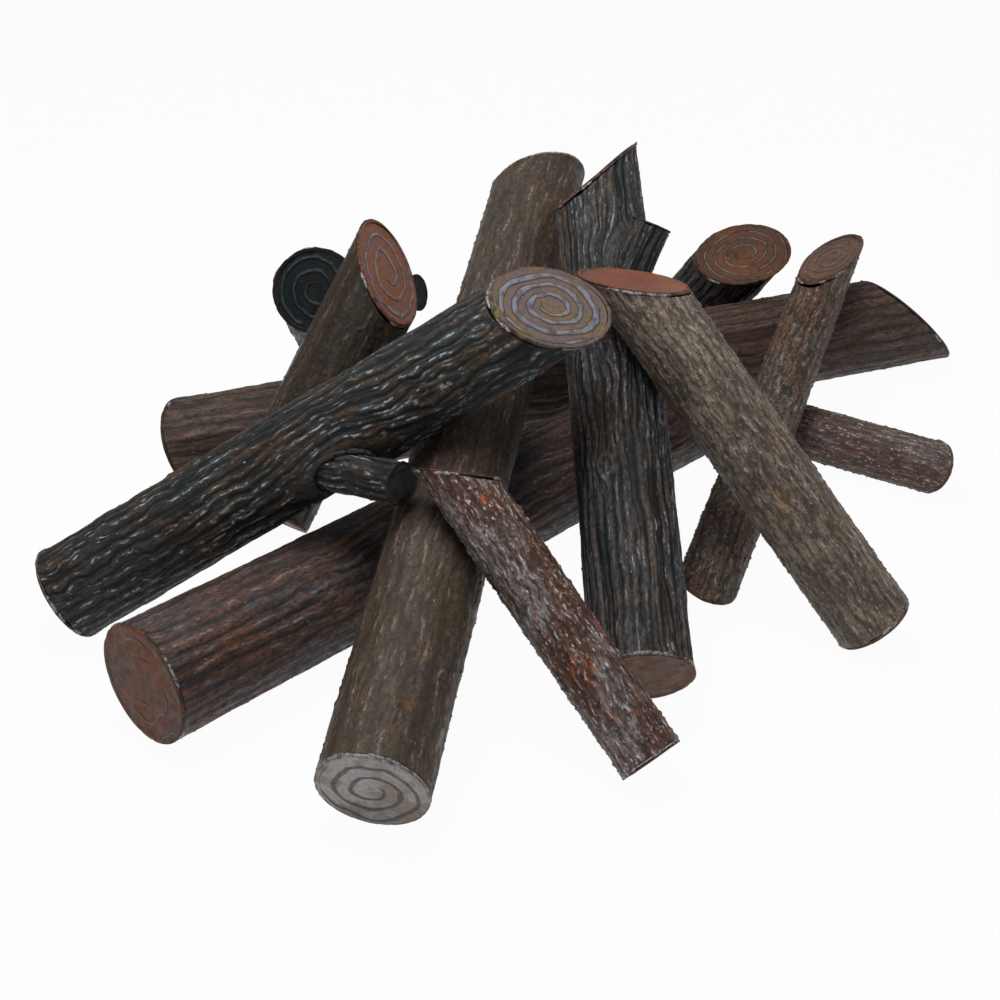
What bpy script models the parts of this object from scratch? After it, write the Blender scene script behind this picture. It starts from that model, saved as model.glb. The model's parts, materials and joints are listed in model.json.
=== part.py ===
"""Gas log set: twelve loose hollow steel logs stacked in a pile.

Each log is a length of steel pipe with a bark of weld beads, closed by a flat
plate on each end. Most feet are cut square, and most tops are sawn on a slant.
Three logs carry the sawn-off stub of a branch.

The logs are stacked one after another. Each one is lowered about its foot, or
slid along the ground, by its clearance to the logs already there, so that it
comes to rest one seat gap from the first log that it meets.
"""
import math

import bmesh
import bpy
import numpy as np
from mathutils import Matrix, Vector

# Lengths are in metres, headings and leans in radians. X runs to the right of
# the pile as seen from its front, Y to the back and Z up.

# Stock steel pipe: outer diameter and wall
SIX_INCH_PIPE = 0.1683
SIX_INCH_WALL = 0.0048
FIVE_INCH_PIPE = 0.1413
FIVE_INCH_WALL = 0.0046
FOUR_INCH_PIPE = 0.1143
FOUR_INCH_WALL = 0.0044
THREE_INCH_PIPE = 0.0889
THREE_INCH_WALL = 0.0040
TWO_INCH_PIPE = 0.0603
TWO_INCH_WALL = 0.0036

# End plates, and the gap that touching pieces keep
LOG_PLATE = 0.0050
STUB_PLATE = 0.0040
SEAT_GAP = 0.0003

# How far off a log starts before it is slid to its place
RUN_UP = 0.30
STEEPEST_LEAN = math.radians(58)

# Back log: lies along the back and carries the pile
BACK_LOG_LENGTH = 1.369
BACK_LOG_BARK = 0.0028
BACK_LOG_HEADING = math.radians(22.0)
BACK_LOG_X = -0.502
BACK_LOG_Y = 0.023
BACK_LOG_CUT_SHARES = (0.19, -0.91)
BACK_LOG_FOOT_CUT_SHARES = (-0.58, -0.46)

# Base log: lies on the ground from the front left to the back log
BASE_LOG_LENGTH = 1.155
BASE_LOG_BARK = 0.0043
BASE_LOG_HEADING = math.radians(45.6)
BASE_LOG_X = -0.472
BASE_LOG_Y = -0.646

# Centre log: the tall one that leans over the base log
CENTRE_LOG_LENGTH = 1.230
CENTRE_LOG_BARK = 0.0043
CENTRE_LOG_HEADING = math.radians(79.2)
CENTRE_LOG_X = -0.156
CENTRE_LOG_Y = -0.842
CENTRE_LOG_CUT_SHARES = (0.57, -0.27)

# Right stick: slim, leans on the right of the back log
RIGHT_STICK_LENGTH = 0.870
RIGHT_STICK_BARK = 0.0040
RIGHT_STICK_HEADING = math.radians(69.5)
RIGHT_STICK_X = 0.310
RIGHT_STICK_Y = -0.305
RIGHT_STICK_CUT_SHARES = (0.55, -3.04)
RIGHT_STICK_FOOT_CUT_SHARES = (-0.52, -1.60)

# Left log: leans steeply over the left of the back log
LEFT_LOG_LENGTH = 0.436
LEFT_LOG_BARK = 0.0024
LEFT_LOG_HEADING = math.radians(51.5)
LEFT_LOG_X = -0.368
LEFT_LOG_Y = -0.133
LEFT_LOG_CUT_SHARES = (-1.06, -0.24)

# Upright log: leans on the right of the centre log, with a stub near its top
UPRIGHT_LOG_LENGTH = 0.882
UPRIGHT_LOG_BARK = 0.0024
UPRIGHT_LOG_HEADING = math.radians(93.0)
UPRIGHT_LOG_X = 0.192
UPRIGHT_LOG_Y = -0.594
UPRIGHT_LOG_CUT_SHARES = (0.96, -0.74)
UPRIGHT_STUB_SHARE = 0.663
UPRIGHT_STUB_FORK = math.radians(45)
UPRIGHT_STUB_ROLL = math.radians(56)
UPRIGHT_STUB_REACH = 0.165

# Right log: leans on the front of the upright log
RIGHT_LOG_LENGTH = 0.602
RIGHT_LOG_BARK = 0.0038
RIGHT_LOG_HEADING = math.radians(146.9)
RIGHT_LOG_X = 0.536
RIGHT_LOG_Y = -0.419
RIGHT_LOG_CUT_SHARES = (-0.23, -0.93)
RIGHT_LOG_FOOT_CUT_SHARES = (0.21, -0.13)

# Cross log: crosses the centre log from the left, with a stub on its underside
CROSS_LOG_LENGTH = 0.819
CROSS_LOG_BARK = 0.0029
CROSS_LOG_HEADING = math.radians(5.0)
CROSS_LOG_X = -0.626
CROSS_LOG_Y = -0.383
CROSS_LOG_CUT_SHARES = (-0.50, -0.71)
CROSS_STUB_SHARE = 0.476
CROSS_STUB_FORK = math.radians(45)
CROSS_STUB_ROLL = math.radians(-20)
CROSS_STUB_REACH = 0.210

# Front stick: slim, leans on the front of the centre log
FRONT_STICK_LENGTH = 0.457
FRONT_STICK_BARK = 0.0021
FRONT_STICK_HEADING = math.radians(135.6)
FRONT_STICK_X = 0.195
FRONT_STICK_Y = -0.737
FRONT_STICK_CUT_SHARES = (-0.59, -0.63)

# Rear right log: short and steep, leans on the back log from behind
REAR_RIGHT_LOG_LENGTH = 0.230
REAR_RIGHT_LOG_BARK = 0.0019
REAR_RIGHT_LOG_HEADING = math.radians(-38.5)
REAR_RIGHT_LOG_X = 0.342
REAR_RIGHT_LOG_Y = 0.598
REAR_RIGHT_LOG_CUT_SHARES = (-0.56, -0.46)

# Rear left log: leans on the left log from behind, with a stub
REAR_LEFT_LOG_LENGTH = 0.471
REAR_LEFT_LOG_BARK = 0.0024
REAR_LEFT_LOG_HEADING = math.radians(-87.5)
REAR_LEFT_LOG_LEAN = math.radians(32.1)
REAR_LEFT_LOG_X = -0.318
REAR_LEFT_LOG_Y = 0.543
REAR_LEFT_STUB_SHARE = 0.709
REAR_LEFT_STUB_FORK = math.radians(60)
REAR_LEFT_STUB_ROLL = math.radians(180)
REAR_LEFT_STUB_REACH = 0.194

# Low stick: slim, lies on the ground under the right stick
LOW_STICK_LENGTH = 0.418
LOW_STICK_BARK = 0.0026
LOW_STICK_HEADING = math.radians(146.5)
LOW_STICK_X = 0.716
LOW_STICK_Y = 0.026
LOW_STICK_FOOT_CUT_SHARES = (0.83, -0.51)

# Bark of the stubs
STUB_BARK = 0.0024

SQUARE_CUT_SHARES = (0.0, 0.0)
LOG_SIDES = 36
STUB_SIDES = 24
SHARP_ANGLE = math.radians(30)
TOUCHING_SHARE = 1.002
NEARNESS_SHARE = 1e-7
MOST_MOVES = 200
MOST_CORNERS = 60

# Paint: sRGB colour, roughness and metallic value
FINISHES = {
    "back_log": ("4A2A20", 0.55, 0.10),
    "base_log": ("4E2B22", 0.60, 0.10),
    "centre_log": ("5A5046", 0.65, 0.10),
    "right_stick": ("55463E", 0.55, 0.10),
    "right_log": ("62554A", 0.55, 0.10),
    "left_log": ("4A362B", 0.60, 0.10),
    "upright_log": ("2A302E", 0.50, 0.10),
    "cross_log": ("20292B", 0.50, 0.10),
    "front_stick": ("57433D", 0.50, 0.10),
    "rear_right_log": ("2B2422", 0.60, 0.10),
    "rear_left_log": ("1F2B2C", 0.50, 0.10),
    "low_stick": ("5A4A48", 0.50, 0.10),
}


class Stub:
    """The sawn-off stub of a branch, at a share of its log's length."""

    def __init__(self, share, fork, roll, reach):
        self.share = share
        self.fork = fork
        self.roll = roll
        self.reach = reach
        self.radius = TWO_INCH_PIPE / 2 + STUB_BARK
        self.bore = TWO_INCH_PIPE / 2 - TWO_INCH_WALL

    def direction(self):
        """Its axis in its log's own frame: X up, Y right, Z along the log."""
        out = math.sin(self.fork)
        return np.array((out * math.sin(self.roll), out * math.cos(self.roll), math.cos(self.fork)))

    def base(self, log):
        """Where its axis meets the log's axis, in the log's own frame."""
        return np.array((0.0, 0.0, log.length * self.share))


class Log:
    """One log: a barked pipe with a foot plate and a top plate."""

    def __init__(self, name, pipe, wall, bark, length, cut=SQUARE_CUT_SHARES,
                 foot_cut=SQUARE_CUT_SHARES, flat=False, stub=None):
        self.name = name
        self.radius = pipe / 2 + bark
        self.bore = pipe / 2 - wall
        self.length = length
        self.cut = cut
        self.foot_cut = foot_cut
        self.turn = math.pi / LOG_SIDES if flat else 0.0
        self.stub = stub

    def ring(self, radius, station, cut):
        """Corners of the round at a station, sloped as the cut is, in the log's own frame."""
        angles = self.turn + np.arange(LOG_SIDES) * (2 * math.pi / LOG_SIDES)
        up = radius * np.cos(angles)
        side = radius * np.sin(angles)
        return np.column_stack((up, side, station + cut[0] * side + cut[1] * up))

    def hulls(self):
        """Corners of the log and of its stub, for measuring clearance."""
        ends = (self.ring(self.radius, 0, self.foot_cut), self.ring(self.radius, self.length, self.cut))
        shapes = [np.vstack(ends)]
        if self.stub:
            rings = stub_rings(self, self.stub.radius)
            shapes.append(np.vstack(rings))
        return shapes

    def ground_height(self, lean):
        """Height of the foot's centre when the log's lowest corner is on the ground."""
        foot, top = self.ring(self.radius, 0, self.foot_cut), self.ring(self.radius, self.length, self.cut)
        corners = np.vstack((foot, top))
        return -(corners[:, 0] * math.cos(lean) + corners[:, 2] * math.sin(lean)).min()


def slant(cut):
    """Length along the axis for each unit of thickness square to a cut."""
    return math.sqrt(1 + cut[0] ** 2 + cut[1] ** 2)


def unit(vector):
    """The vector at length one."""
    return vector / np.linalg.norm(vector)


def direction(heading, lean):
    """Way that a log points: heading from X towards Y, lean above the ground."""
    flat = math.cos(lean)
    return np.array((flat * math.cos(heading), flat * math.sin(heading), math.sin(lean)))


def stance(foot, along):
    """A log's place as a 4 x 4 matrix: columns up, right, along and foot."""
    side = unit(np.cross(along, (0.0, 0.0, 1.0)))
    place = np.eye(4)
    place[:3, 0] = np.cross(side, along)
    place[:3, 1] = side
    place[:3, 2] = along
    place[:3, 3] = foot
    return place


def placed(place, points):
    """Points of a log's own frame in the pile."""
    return points @ place[:3, :3].T + place[:3, 3]


def stub_ring(log, radius, meets_bark):
    """Corners of one end of a stub: its saddle on the bark, or its sawn end."""
    stub = log.stub
    along = stub.direction()
    side = unit(np.cross(along, (0.0, 0.0, 1.0)))
    up = np.cross(side, along)
    angles = np.arange(STUB_SIDES) * (2 * math.pi / STUB_SIDES)
    corners = []
    for angle in angles:
        line = stub.base(log) + radius * (math.cos(angle) * up + math.sin(angle) * side)
        station = stub.reach
        if meets_bark == "saddle":
            station = leaves_round(line[:2], along[:2], log.radius + SEAT_GAP)
        elif meets_bark == "seam":
            station = stub.reach - STUB_PLATE - SEAT_GAP
        elif meets_bark == "plate":
            station = stub.reach - STUB_PLATE
        corners.append(line + along * station)
    return np.array(corners)


def leaves_round(start, way, radius):
    """How far along a way a line leaves the round of a radius about the axis."""
    a = way @ way
    b = start @ way
    c = start @ start - radius ** 2
    return (math.sqrt(b * b - a * c) - b) / a


def stub_rings(log, radius):
    """The saddle and the sawn end of a stub."""
    return stub_ring(log, radius, "saddle"), stub_ring(log, radius, "end")


def nearest_to_zero(points):
    """The point of up to four corners' hull nearest to zero, and the corners that hold it."""
    best = None
    for mask in range(1, 1 << len(points)):
        chosen = points[[mask >> i & 1 == 1 for i in range(len(points))]]
        weights = np.ones(1)
        if len(chosen) > 1:
            edges = chosen[1:] - chosen[0]
            try:
                rest = np.linalg.solve(edges @ edges.T, -(edges @ chosen[0]))
            except np.linalg.LinAlgError:
                continue
            weights = np.concatenate(([1 - rest.sum()], rest))
            if weights.min() < 0:
                continue
        point = weights @ chosen
        if best is None or point @ point < best[0] @ best[0]:
            best = (point, chosen)
    return best


def clearance(first, second):
    """Distance between the hulls of two sets of corners, zero where they overlap."""
    apart = first.mean(axis=0) - second.mean(axis=0)
    held = np.empty((0, 3))
    for _ in range(MOST_CORNERS):
        corner = first[np.argmin(first @ apart)] - second[np.argmax(second @ apart)]
        known = len(held) and (held == corner).all(axis=1).any()
        if known or (len(held) and apart @ apart - apart @ corner < NEARNESS_SHARE * (apart @ apart)):
            break
        held = np.vstack((held, corner))
        apart, held = nearest_to_zero(held)
        if len(held) == 4:
            return 0.0
    return float(np.linalg.norm(apart))


def settle(log, place_at, reach, standing, furthest=math.inf):
    """Move a log on by its clearance, again and again, until it meets a standing log.

    place_at gives its place after a travel, and reach is how far its end moves
    for each unit of travel.
    """
    travel = 0.0
    for _ in range(MOST_MOVES):
        place = place_at(min(travel, furthest))
        shapes = [placed(place, shape) for shape in log.hulls()]
        gap = min(clearance(shape, other) for shape in shapes for other in standing)
        if gap < SEAT_GAP * TOUCHING_SHARE or travel >= furthest:
            break
        travel += (gap - SEAT_GAP) / reach
    return place


class Pile:
    """The logs that are standing, with their places."""

    def __init__(self):
        self.logs = []
        self.places = []
        self.standing = []

    def add(self, log, place):
        """Keep a log at its place."""
        self.logs.append(log)
        self.places.append(place)
        self.standing += [placed(place, shape) for shape in log.hulls()]

    def lay(self, log, x, y, heading):
        """Lay a log on the ground."""
        self.add(log, stance((x, y, log.ground_height(0)), direction(heading, 0)))

    def lean(self, log, x, y, heading):
        """Stand a log on its foot and lower its top until it meets another log."""
        def lowered(travel):
            lean = STEEPEST_LEAN - travel
            return stance((x, y, log.ground_height(lean)), direction(heading, lean))

        reach = log.length * slant(log.cut) + log.radius
        self.add(log, settle(log, lowered, reach, self.standing, STEEPEST_LEAN))

    def slide(self, log, x, y, heading, lean, way):
        """Slide a log over the ground along a way until it meets another log."""
        foot = np.array((x, y, log.ground_height(lean))) - RUN_UP * way
        along = direction(heading, lean)
        self.add(log, settle(log, lambda travel: stance(foot + travel * way, along), 1, self.standing))

    def centre(self):
        """Move the whole pile so that the middle of its footprint is at zero."""
        corners = np.vstack(self.standing)
        middle = (corners.min(axis=0) + corners.max(axis=0)) / 2
        for place in self.places:
            place[:2, 3] -= middle[:2]


def stack():
    """Stack the twelve logs, each one on those before it."""
    pile = Pile()
    pile.lay(
        Log("back_log", SIX_INCH_PIPE, SIX_INCH_WALL, BACK_LOG_BARK, BACK_LOG_LENGTH,
            BACK_LOG_CUT_SHARES, BACK_LOG_FOOT_CUT_SHARES, flat=True),
        BACK_LOG_X, BACK_LOG_Y, BACK_LOG_HEADING)
    pile.slide(
        Log("base_log", SIX_INCH_PIPE, SIX_INCH_WALL, BASE_LOG_BARK, BASE_LOG_LENGTH, flat=True),
        BASE_LOG_X, BASE_LOG_Y, BASE_LOG_HEADING, 0, direction(BASE_LOG_HEADING, 0))
    pile.lean(
        Log("centre_log", FIVE_INCH_PIPE, FIVE_INCH_WALL, CENTRE_LOG_BARK, CENTRE_LOG_LENGTH,
            CENTRE_LOG_CUT_SHARES),
        CENTRE_LOG_X, CENTRE_LOG_Y, CENTRE_LOG_HEADING)
    pile.lean(
        Log("right_stick", THREE_INCH_PIPE, THREE_INCH_WALL, RIGHT_STICK_BARK, RIGHT_STICK_LENGTH,
            RIGHT_STICK_CUT_SHARES, RIGHT_STICK_FOOT_CUT_SHARES),
        RIGHT_STICK_X, RIGHT_STICK_Y, RIGHT_STICK_HEADING)
    pile.lean(
        Log("left_log", FIVE_INCH_PIPE, FIVE_INCH_WALL, LEFT_LOG_BARK, LEFT_LOG_LENGTH,
            LEFT_LOG_CUT_SHARES),
        LEFT_LOG_X, LEFT_LOG_Y, LEFT_LOG_HEADING)
    pile.lean(
        Log("upright_log", FIVE_INCH_PIPE, FIVE_INCH_WALL, UPRIGHT_LOG_BARK, UPRIGHT_LOG_LENGTH,
            UPRIGHT_LOG_CUT_SHARES,
            stub=Stub(UPRIGHT_STUB_SHARE, UPRIGHT_STUB_FORK, UPRIGHT_STUB_ROLL, UPRIGHT_STUB_REACH)),
        UPRIGHT_LOG_X, UPRIGHT_LOG_Y, UPRIGHT_LOG_HEADING)
    pile.lean(
        Log("right_log", FOUR_INCH_PIPE, FOUR_INCH_WALL, RIGHT_LOG_BARK, RIGHT_LOG_LENGTH,
            RIGHT_LOG_CUT_SHARES, RIGHT_LOG_FOOT_CUT_SHARES),
        RIGHT_LOG_X, RIGHT_LOG_Y, RIGHT_LOG_HEADING)
    pile.lean(
        Log("cross_log", FIVE_INCH_PIPE, FIVE_INCH_WALL, CROSS_LOG_BARK, CROSS_LOG_LENGTH,
            CROSS_LOG_CUT_SHARES,
            stub=Stub(CROSS_STUB_SHARE, CROSS_STUB_FORK, CROSS_STUB_ROLL, CROSS_STUB_REACH)),
        CROSS_LOG_X, CROSS_LOG_Y, CROSS_LOG_HEADING)
    pile.lean(
        Log("front_stick", THREE_INCH_PIPE, THREE_INCH_WALL, FRONT_STICK_BARK, FRONT_STICK_LENGTH,
            FRONT_STICK_CUT_SHARES),
        FRONT_STICK_X, FRONT_STICK_Y, FRONT_STICK_HEADING)
    pile.lean(
        Log("rear_right_log", FIVE_INCH_PIPE, FIVE_INCH_WALL, REAR_RIGHT_LOG_BARK, REAR_RIGHT_LOG_LENGTH,
            REAR_RIGHT_LOG_CUT_SHARES),
        REAR_RIGHT_LOG_X, REAR_RIGHT_LOG_Y, REAR_RIGHT_LOG_HEADING)
    pile.slide(
        Log("rear_left_log", FIVE_INCH_PIPE, FIVE_INCH_WALL, REAR_LEFT_LOG_BARK, REAR_LEFT_LOG_LENGTH,
            stub=Stub(REAR_LEFT_STUB_SHARE, REAR_LEFT_STUB_FORK, REAR_LEFT_STUB_ROLL, REAR_LEFT_STUB_REACH)),
        REAR_LEFT_LOG_X, REAR_LEFT_LOG_Y, REAR_LEFT_LOG_HEADING, REAR_LEFT_LOG_LEAN,
        direction(REAR_LEFT_LOG_HEADING, 0))
    pile.slide(
        Log("low_stick", THREE_INCH_PIPE, THREE_INCH_WALL, LOW_STICK_BARK, LOW_STICK_LENGTH,
            foot_cut=LOW_STICK_FOOT_CUT_SHARES, flat=True),
        LOW_STICK_X, LOW_STICK_Y, LOW_STICK_HEADING, 0, direction(LOW_STICK_HEADING, 0))
    pile.centre()
    return pile


def solid_mesh(name, rings, open_bore):
    """A closed mesh through rings of corners: a tube round a bore, or a plate with flat ends."""
    shape = bmesh.new()
    loops = [[shape.verts.new(corner) for corner in ring] for ring in rings]
    pairs = list(zip(loops, loops[1:]))
    if open_bore:
        pairs.append((loops[-1], loops[0]))
    else:
        shape.faces.new(loops[0])
        shape.faces.new(loops[-1])
    for near, far in pairs:
        count = len(near)
        for i in range(count):
            shape.faces.new((near[i], near[(i + 1) % count], far[(i + 1) % count], far[i]))
    bmesh.ops.recalc_face_normals(shape, faces=shape.faces)
    mesh = bpy.data.meshes.new(name)
    shape.to_mesh(mesh)
    shape.free()
    mesh.shade_smooth()
    mesh.set_sharp_from_angle(angle=SHARP_ANGLE)
    return mesh


def bark_mesh(log, name):
    """The barked pipe, from its foot seam to its top seam."""
    seam = LOG_PLATE + SEAT_GAP
    foot = seam * slant(log.foot_cut)
    top = log.length - seam * slant(log.cut)
    rings = (
        log.ring(log.radius, foot, log.foot_cut),
        log.ring(log.radius, top, log.cut),
        log.ring(log.bore, top, log.cut),
        log.ring(log.bore, foot, log.foot_cut),
    )
    return solid_mesh(name, rings, open_bore=True)


def foot_plate_mesh(log, name):
    """The plate that closes the foot, sawn as the foot is."""
    rings = (
        log.ring(log.radius, 0, log.foot_cut),
        log.ring(log.radius, LOG_PLATE * slant(log.foot_cut), log.foot_cut),
    )
    return solid_mesh(name, rings, open_bore=False)


def top_plate_mesh(log, name):
    """The plate that closes the top, sawn on the same slant."""
    rings = (
        log.ring(log.radius, log.length - LOG_PLATE * slant(log.cut), log.cut),
        log.ring(log.radius, log.length, log.cut),
    )
    return solid_mesh(name, rings, open_bore=False)


def stub_bark_mesh(log, name):
    """The stub's barked pipe, saddled on its log."""
    stub = log.stub
    rings = (
        stub_ring(log, stub.radius, "saddle"),
        stub_ring(log, stub.radius, "seam"),
        stub_ring(log, stub.bore, "seam"),
        stub_ring(log, stub.bore, "saddle"),
    )
    return solid_mesh(name, rings, open_bore=True)


def stub_plate_mesh(log, name):
    """The plate on the stub's sawn end."""
    rings = (stub_ring(log, log.stub.radius, "plate"), stub_ring(log, log.stub.radius, "end"))
    return solid_mesh(name, rings, open_bore=False)


def paint(name):
    """Heat-proof paint on a log, in its colour."""
    colour, roughness, metallic = FINISHES[name]
    material = bpy.data.materials.new(name + "_paint")
    material.use_nodes = True
    shader = material.node_tree.nodes["Principled BSDF"]
    shader.inputs["Base Color"].default_value = linear(colour)
    shader.inputs["Roughness"].default_value = roughness
    shader.inputs["Metallic"].default_value = metallic
    return material


def linear(colour):
    """A hex sRGB colour as linear red, green, blue and alpha."""
    shares = [int(colour[i:i + 2], 16) / 255 for i in (0, 2, 4)]
    return [s / 12.92 if s <= 0.04045 else ((s + 0.055) / 1.055) ** 2.4 for s in shares] + [1.0]


def build_log(log, place):
    """Make one log's pieces and hang them on an empty at its foot, on its axis."""
    hub = bpy.data.objects.new(log.name + "_axis", None)
    bpy.context.scene.collection.objects.link(hub)
    hub.matrix_world = Matrix(place.tolist())
    makers = {"bark": bark_mesh, "foot_plate": foot_plate_mesh, "top_plate": top_plate_mesh}
    if log.stub:
        makers.update({"stub_bark": stub_bark_mesh, "stub_plate": stub_plate_mesh})
    material = paint(log.name)
    for piece, make in makers.items():
        name = log.name + "_" + piece
        mesh = make(log, name)
        mesh.materials.append(material)
        piece_object = bpy.data.objects.new(name, mesh)
        bpy.context.scene.collection.objects.link(piece_object)
        piece_object.parent = hub


def main():
    """Clear the scene and build the pile."""
    for old in list(bpy.data.objects):
        bpy.data.objects.remove(old, do_unlink=True)
    pile = stack()
    for log, place in zip(pile.logs, pile.places):
        build_log(log, place)
    bpy.context.view_layer.update()


main()
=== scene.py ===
"""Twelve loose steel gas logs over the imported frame: weld-bead bark, ringed end plates, tack welds."""

import json
import math
from functools import partial

import bpy
import numpy as np
from bpy.props import FloatProperty, FloatVectorProperty, PointerProperty
from mathutils import Matrix

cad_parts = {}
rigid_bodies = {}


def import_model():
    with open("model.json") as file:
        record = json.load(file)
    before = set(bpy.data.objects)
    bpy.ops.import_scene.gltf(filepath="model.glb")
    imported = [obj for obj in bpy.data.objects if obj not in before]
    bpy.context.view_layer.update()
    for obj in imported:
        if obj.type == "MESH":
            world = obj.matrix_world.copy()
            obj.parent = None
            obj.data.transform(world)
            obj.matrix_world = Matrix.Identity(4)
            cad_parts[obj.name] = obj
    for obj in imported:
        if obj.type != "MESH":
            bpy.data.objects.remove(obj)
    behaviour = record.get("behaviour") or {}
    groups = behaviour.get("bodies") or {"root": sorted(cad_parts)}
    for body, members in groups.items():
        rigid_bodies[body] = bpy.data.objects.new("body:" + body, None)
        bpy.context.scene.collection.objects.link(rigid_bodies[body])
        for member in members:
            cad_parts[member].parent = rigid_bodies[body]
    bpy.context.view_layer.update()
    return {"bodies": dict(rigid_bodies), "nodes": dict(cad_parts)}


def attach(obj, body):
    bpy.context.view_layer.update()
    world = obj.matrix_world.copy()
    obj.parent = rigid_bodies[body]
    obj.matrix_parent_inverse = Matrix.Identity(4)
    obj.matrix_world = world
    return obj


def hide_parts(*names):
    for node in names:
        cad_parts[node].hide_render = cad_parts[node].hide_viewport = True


bl_info = {
    "name": "Gas Log Set",
    "version": (1, 0, 0),
    "blender": (4, 5, 0),
    "location": "3D View > Sidebar > Gas Logs",
    "description": "Dresses twelve steel gas logs with weld-bead bark, ringed end plates and tack welds",
    "category": "Object",
}

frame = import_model()

WHOLE_TURN = 2.0 * math.pi
RANDOM = np.random.default_rng(20)
GRAINS = RANDOM.random((48, 48, 48)).astype(np.float32)

# Lengths are in metres. Widths are round a log, and lengths along it.
QUADS_IN_A_BARK = 93000
QUADS_IN_A_STUB = 16000
LENGTH_TO_WIDTH_OF_A_QUAD = 2.0
FINEST_QUAD = 0.0012
PLATE_QUAD_WIDTH = 0.0018
PLATE_RING_STEP = 0.0012
WALL_DEPTH = 0.008

BEAD_SHARE = 0.82
BROAD_BEAD_SHARE, FINE_BEAD_SHARE = 0.66, 0.34
CREST_LINE = 0.42
SLOW_SWAY_WIDTH, SLOW_SWAY_LENGTH = 0.06, 0.16
QUICK_SWAY_WIDTH = 0.035
RIPPLE_LENGTH = 0.009
LUMP_WIDTH, LUMP_LENGTH = 0.009, 0.014
SWELL_WIDTH, SWELL_LENGTH, SWELL_DEPTH = 0.09, 0.15, 0.0018
NUB_RADII = (0.0015, 0.0031)

SEAM_DEPTH = 0.0030
SEAM_WIDTH = 0.0022
SEAM_ROWS = (0.0, 0.0008, 0.0018, 0.0030, 0.0045)
SEAM_GAP = 0.0003
BARK_SHORT_OF_SEAM = 0.0004
END_BLEND, END_DEPTH = 0.012, 0.0008

PLATE_EDGE_SHARES = (0.994, 1.0, 1.0, 1.0, 0.985, 0.5, 0.01)
PLATE_EDGE_SINKS = (0.0012, 0.0022)
PLATE_SINK, RING_HEIGHT = 0.0014, 0.0011
DENT_WIDTH, DENT_DEPTH = 0.012, 0.0007
RIM_HEIGHT = 0.0012
RIM_LOSS, RIM_WAVE, NOTCH_DEPTH = 0.0008, 0.0024, 0.0008

WELD_SIDES = 10
WELD_STEP = 0.0015
TACK_RADII = (0.0020, 0.0032)
TACK_WANDER = 0.0016
SMALL_TACKS = 4
SMALL_TACK_LENGTHS = (0.010, 0.030)
COLLAR_RADIUS = 0.0048
COLLAR_STEPS = 140
COLLAR_INSET = 0.0005
COLLAR_CREST = 0.7
STUB_ROOT_SINK, COLLAR_SINK = 0.004, 0.0015

# Fields in the paint: a grain's size, the noise's detail and roughness, and the noise at none and at full
PATCHES = (0.060, 4.0, 0.6, 0.44, 0.58)
TINTS = (0.026, 5.0, 0.75, 0.56, 0.70)
MOTTLE = (0.0050, 6.0, 0.85, 0.53, 0.45)
TEARS = (0.0040, 4.0, 0.70, 0.44, 0.56)
SPECK_FIELDS = (0.035, 4.0, 0.70, 0.44, 0.60)
SHEEN = (0.012, 4.0, 0.6, 0.30, 0.70)
PLATE_PATCHES = (0.060, 4.0, 0.6, 0.46, 0.60)
PLATE_MOTTLE = (0.006, 4.0, 0.7, 0.60, 0.35)
PLATE_TINTS = (0.030, 4.0, 0.7, 0.58, 0.72)
BROKEN_RINGS = (0.014, 3.0, 0.6, 0.34, 0.58)
WORN_RIM = (0.010, 4.0, 0.7, 0.38, 0.62)
PLATE_SHEEN = (0.015, 4.0, 0.6, 0.30, 0.70)
WELD_STAIN = (0.006, 5.0, 0.7, 0.42, 0.62)

# Relief in the paint: a grain's size, the noise's detail and roughness, and how high it stands
STREAKS, STREAK_HEIGHT = (0.008, 6.0, 0.72), 0.0018
GRIT, PLATE_GRIT_HEIGHT = (0.0030, 4.0, 0.65), 0.0010
WELD_GRIT, WELD_GRIT_HEIGHT = (0.0022, 4.0, 0.7), 0.0012
SPECK_RADIUS, SPECK_HEIGHT = 0.0011, 0.0012
BARK_GLOSS = 0.26
PLATE_GLOSS = 0.18
PAINT_IOR = 1.5

LAMP_PLACE = (-0.45, -0.3, 2.6)
LAMP_TARGET = (0.0, -0.05, 0.2)
LAMP_WIDTH, LAMP_DEPTH = 1.8, 1.1
SENSOR_WIDTH, LENS_LENGTH = 36.0, 63.77
CAMERA_PLACE = (-0.0952, -2.4353, 1.4504)
CAMERA_AIM = (-0.0952, 0.1013, 0.0)
WHITE = (1.0, 1.0, 1.0, 1.0)
UPWARD = (0.0, 0.0, 1.0)


def linear_colour(hex_code):
    """Turn an sRGB hex colour into the linear colour that Blender's sockets take."""
    shares = [int(hex_code[i:i + 2], 16) / 255.0 for i in (0, 2, 4)]
    return tuple(s / 12.92 if s <= 0.04045 else ((s + 0.055) / 1.055) ** 2.4 for s in shares)


def paint_colour(name, hex_code, description):
    """A colour setting with its sRGB hex default."""
    return FloatVectorProperty(
        name=name, description=description, subtype="COLOR", size=3, min=0.0, max=1.0,
        default=linear_colour(hex_code))


def length(name, metres, description):
    """A length setting in metres."""
    return FloatProperty(
        name=name, description=description, subtype="DISTANCE", unit="LENGTH", default=metres)


def share(name, value, description):
    """A setting from none to all."""
    return FloatProperty(
        name=name, description=description, subtype="FACTOR", min=0.0, max=1.0, default=value)


def count(name, value, description):
    """A setting that counts things, whole or in part."""
    return FloatProperty(name=name, description=description, min=0.0, default=value)


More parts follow.
